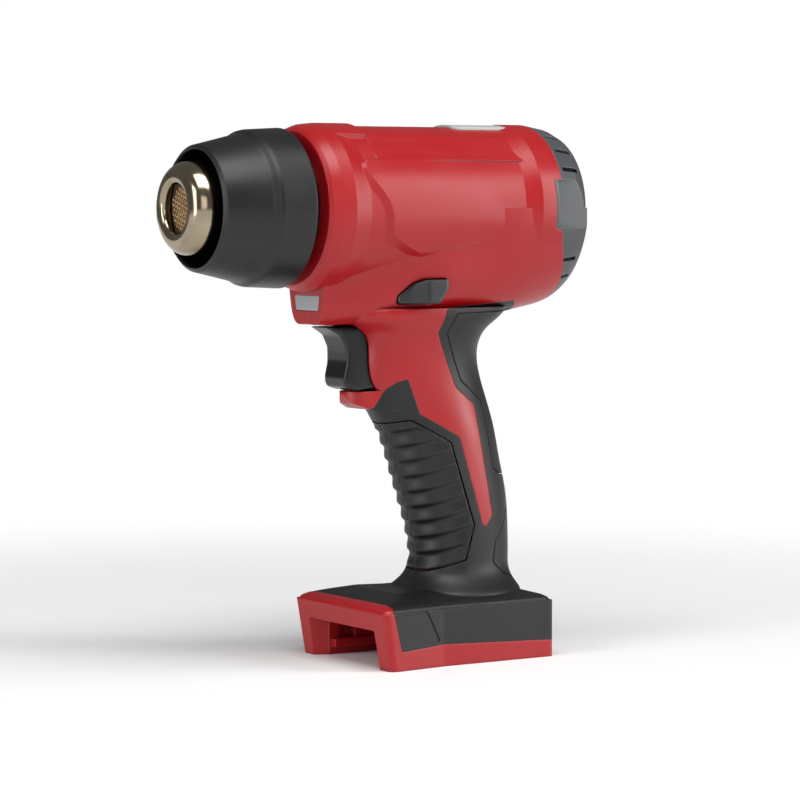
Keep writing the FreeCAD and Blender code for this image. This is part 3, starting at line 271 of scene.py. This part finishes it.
def press(piece, change, rounds=0):
    """Moves each vertex by what change gives for its place and normal, then smooths and shades."""
    shape = bmesh.new()
    shape.from_mesh(piece.data)
    shape.normal_update()
    for vertex in shape.verts:
        vertex.co += change(vertex.co.copy(), vertex.normal.copy())
    for _ in range(rounds):
        bmesh.ops.smooth_vert(shape, verts=shape.verts, factor=0.5, use_axis_x=True, use_axis_y=True,
                              use_axis_z=True)
    shape.to_mesh(piece.data)
    shape.free()
    piece.data.shade_smooth()
    print(piece.name, len(piece.data.polygons), "faces")


# %% [markdown]
# The grip has about ten broad ribs pressed into the rubber. They run level round the front and climb
# towards the back of the hand. Each is a shallow scoop, steeper at one side, so the fingers don't
# slip down. The scoops are pressed into the outer face only, and fade out before the grip's border.

# %% Ribbed grip
RIB_PITCH, RIB_DEPTH, RIB_CLIMB, RIB_SKEW = 5.7 * MM, 0.90 * MM, 0.27, 1.8
HANDLE_LEAN, HEEL_Z = 0.33, 0.045
HANDLE_MIDDLE, FRONT_EDGE = -0.040, -0.020
FLAT_RIM, FADE_WIDTH = 0.5 * MM, 1.6 * MM
# The grip's border seen from the side, as x and z in millimetres.
BORDER = [(5.2, 87.4), (-4.8, 88.6), (-11.9, 90.2), (-27.4, 81.5), (-38.3, 50.0), (-35.1, 37.0),
          (-22.5, 33.2), (-9.2, 31.5)]


def from_border(at):
    """Distance of a point from the grip's border, seen from the side, in metres."""
    spot = Vector((at.x, at.z)) / MM
    gaps = []
    for start, end in zip(BORDER, BORDER[1:]):
        a, b = Vector(start), Vector(end)
        along = max(0.0, min(1.0, (spot - a).dot(b - a) / (b - a).length_squared))
        gaps.append((spot - a - along * (b - a)).length)
    return min(gaps) * MM


def rib_press(at, normal):
    """How far the rib pattern moves a point of the grip."""
    lean = HANDLE_LEAN * (at.z - HEEL_Z)
    middle = Vector((HANDLE_MIDDLE + lean, 0, at.z))
    outward = (at - middle).normalized()
    if normal.dot(outward) < 0.25:
        return Vector((0, 0, 0))
    behind = max(0.0, (FRONT_EDGE + lean) - at.x)
    turn = ((at.z - RIB_CLIMB * behind) / RIB_PITCH) % 1.0
    scoop = math.sin(math.pi * turn ** RIB_SKEW)
    fade = max(0.0, min(1.0, (from_border(at) - FLAT_RIM) / FADE_WIDTH))
    return -RIB_DEPTH * scoop * fade * normal


for side in ("left", "right"):
    grip = even_copy("grip_ribs_" + side, "ribbed_grip_" + side, 0.5, black_rubber,
                     "housing")
    press(grip, rib_press, 1)

# %% [markdown]
# The trigger and the lock button are the two things a finger touches, so their edges are generously
# rounded. Smoothing an even grid a few times draws the corners in by about a millimetre.

# %% Finger pieces
def still(at, normal):
    """Leaves each vertex where it is, so that only the smoothing acts."""
    return Vector((0, 0, 0))


press(even_copy("finger_trigger", "trigger", 0.45, finger_plastic, "trigger"), still, 10)
press(even_copy("lock_slider", "lock_button", 0.35, lock_plastic, "lock"), still, 5)

# %% [markdown]
# Behind the mouth sits a guard of woven wire. A grid is cut to a disc and every second crossing is
# lifted, which gives the wave of a weave, though the wires join where real ones would pass over and
# under. The edges are then given thickness.

# %% Woven guard
WEAVE, MOUTH = 1.15 * MM, 9.4 * MM
WIRE, WAVE = 0.34 * MM, 0.16 * MM
screen_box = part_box("nozzle_screen")
guard = bmesh.new()
cells = int(2 * MOUTH / WEAVE)
bmesh.ops.create_grid(guard, x_segments=cells, y_segments=cells, size=MOUTH)
outside = [v for v in guard.verts if v.co.length > MOUTH]
bmesh.ops.delete(guard, geom=outside, context="VERTS")
for vertex in guard.verts:
    across = round((vertex.co.x + MOUTH) / (2 * MOUTH / cells))
    along = round((vertex.co.y + MOUTH) / (2 * MOUTH / cells))
    vertex.co.z = WAVE if (across + along) % 2 else -WAVE
bmesh.ops.wireframe(guard, faces=guard.faces, thickness=WIRE, use_replace=True,
                    use_even_offset=True, use_boundary=True)
bmesh.ops.rotate(guard, verts=guard.verts, matrix=Matrix.Rotation(math.radians(90), 3, "Y"))
bmesh.ops.rotate(guard, verts=guard.verts, matrix=Matrix.Rotation(math.radians(28), 3, "X"))
middle = (Vector(screen_box[0]) + Vector(screen_box[1])) / 2
bmesh.ops.translate(guard, verts=guard.verts, vec=middle)
bmesh.ops.recalc_face_normals(guard, faces=guard.faces)
mesh = bpy.data.meshes.new("woven_guard")
guard.to_mesh(mesh)
guard.free()
mesh.materials.append(screen_wire)
woven = bpy.data.objects.new("woven_guard", mesh)
bpy.context.scene.collection.objects.link(woven)
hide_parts("nozzle_screen")
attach(woven, "housing")
print("woven guard", len(mesh.polygons), "faces")

# %% [markdown]
# The light is a plain studio: a pale world, a tall soft panel on each side that draws the long
# highlights down the handle, one above for the barrel's roof, and a weak one on the shown side. The
# floor is matt paper under the tool and glows further out, so that it ends in the same white.

# %% Floor and lights
floor_mesh = bpy.data.meshes.new("floor")
sheet = bmesh.new()
bmesh.ops.create_grid(sheet, x_segments=1, y_segments=1, size=3.0)
sheet.to_mesh(floor_mesh)
sheet.free()
floor = bpy.data.objects.new("floor", floor_mesh)
bpy.context.scene.collection.objects.link(floor)
paper, tree, output = blank("studio_paper")
fibre = add(tree, "TexNoise", {"Vector": add(tree, "TexCoord").outputs["Object"], "Scale": 400.0})
pulp = add(tree, "Bump", {"Height": fibre.outputs["Fac"], "Distance": 0.0001, "Strength": 0.3})
flat = add(tree, "BsdfPrincipled", {"Base Color": linear("#F4F4F4"), "Roughness": 0.9,
                                    "Normal": pulp.outputs["Normal"]})
glow = add(tree, "Emission", {"Color": linear("#FFFFFF"), "Strength": 1.0})
away = add(tree, "VectorMath", {0: add(tree, "TexCoord").outputs["Object"]}, operation="LENGTH")
fade = add(tree, "MapRange", {"Value": away.outputs["Value"], "From Min": 0.12, "From Max": 0.55,
                              "To Min": 0.0, "To Max": 1.0}, interpolation_type="SMOOTHSTEP")
spread = add(tree, "MixShader", {0: fade.outputs["Result"], 1: flat.outputs["BSDF"],
                                 2: glow.outputs["Emission"]})
tree.links.new(spread.outputs["Shader"], output.inputs["Surface"])
floor_mesh.materials.append(paper)

world = bpy.data.worlds.new("studio")
bpy.context.scene.world = world
world.use_nodes = True
sky = world.node_tree
seen = add(sky, "MapRange", {"Value": add(sky, "LightPath").outputs["Is Camera Ray"], "To Min": 0.17,
                             "To Max": 1.0})
sky.links.new(seen.outputs["Result"], sky.nodes["Background"].inputs["Strength"])
sky.nodes["Background"].inputs["Color"].default_value = linear("#FFFFFF")
bpy.context.scene.view_settings.view_transform = "Standard"


def panel(name, place, aim, width, height, power):
    """A soft rectangular light that faces a point."""
    light = bpy.data.lights.new(name, "AREA")
    light.shape, light.size, light.size_y, light.energy = "RECTANGLE", width, height, power
    lamp = bpy.data.objects.new(name, light)
    bpy.context.scene.collection.objects.link(lamp)
    lamp.location = place
    lamp.rotation_euler = (Vector(aim) - Vector(place)).to_track_quat("-Z", "Y").to_euler()


panel("rear_left_panel", (-0.85, 0.75, 0.35), (0, 0, 0.1), 0.28, 1.1, 9)
panel("front_panel", (1.0, 0.15, 0.30), (0, 0, 0.1), 0.40, 1.0, 6)
panel("top_panel", (0.1, 0.35, 1.05), (0, 0, 0.1), 0.9, 0.6, 9)
panel("near_panel", (0.55, 1.3, 0.50), (0, 0, 0.1), 0.7, 0.7, 2.5)

print("lights", len(bpy.data.lights))
